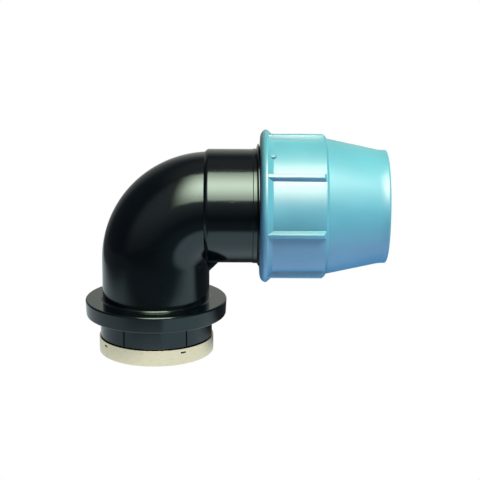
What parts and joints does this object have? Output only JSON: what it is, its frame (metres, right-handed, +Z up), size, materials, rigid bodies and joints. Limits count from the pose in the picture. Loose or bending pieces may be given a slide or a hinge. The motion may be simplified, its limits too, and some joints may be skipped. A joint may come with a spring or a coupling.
{
  "type": "compression elbow",
  "caption": "Quarter-bend plastic pipe elbow with a ribbed compression nut on one end and a female threaded socket with a steel ring on the other.",
  "frame": {"origin": "centre of the threaded end's lower face", "axes": "+Z up the threaded socket's axis, +X out of the compression nut along the pipe's axis"},
  "size_m": [0.334, 0.1686, 0.2506],
  "materials": {
    "black_plastic": "satin moulded",
    "blue_plastic": "satin moulded",
    "white_plastic": "moulded",
    "steel": "pressed, satin",
    "seal_rubber": "moulded"
  },
  "bodies": {
    "elbow": {"elbow_body": "black_plastic", "reinforcing_ring": "steel", "thrust_bush": "black_plastic", "o_ring": "seal_rubber"},
    "grip": {"grip_ring": "white_plastic"},
    "nut": {"compression_nut": "blue_plastic"}
  },
  "joints": [
    {"name": "grip_travel", "type": "slide", "parent": "elbow", "child": "grip", "axis": [1, 0, 0], "range_m": [0, 0.021]},
    {"name": "nut_turn", "type": "hinge", "parent": "grip", "child": "nut", "pos_m": [0.1155, 0, 0.1663], "axis": [1, 0, 0], "range_deg": [0, 1260]}
  ],
  "couplings": [
    {"joint": "grip_travel", "follows": "nut_turn", "m_per_rad": 0.00095493}
  ]
}
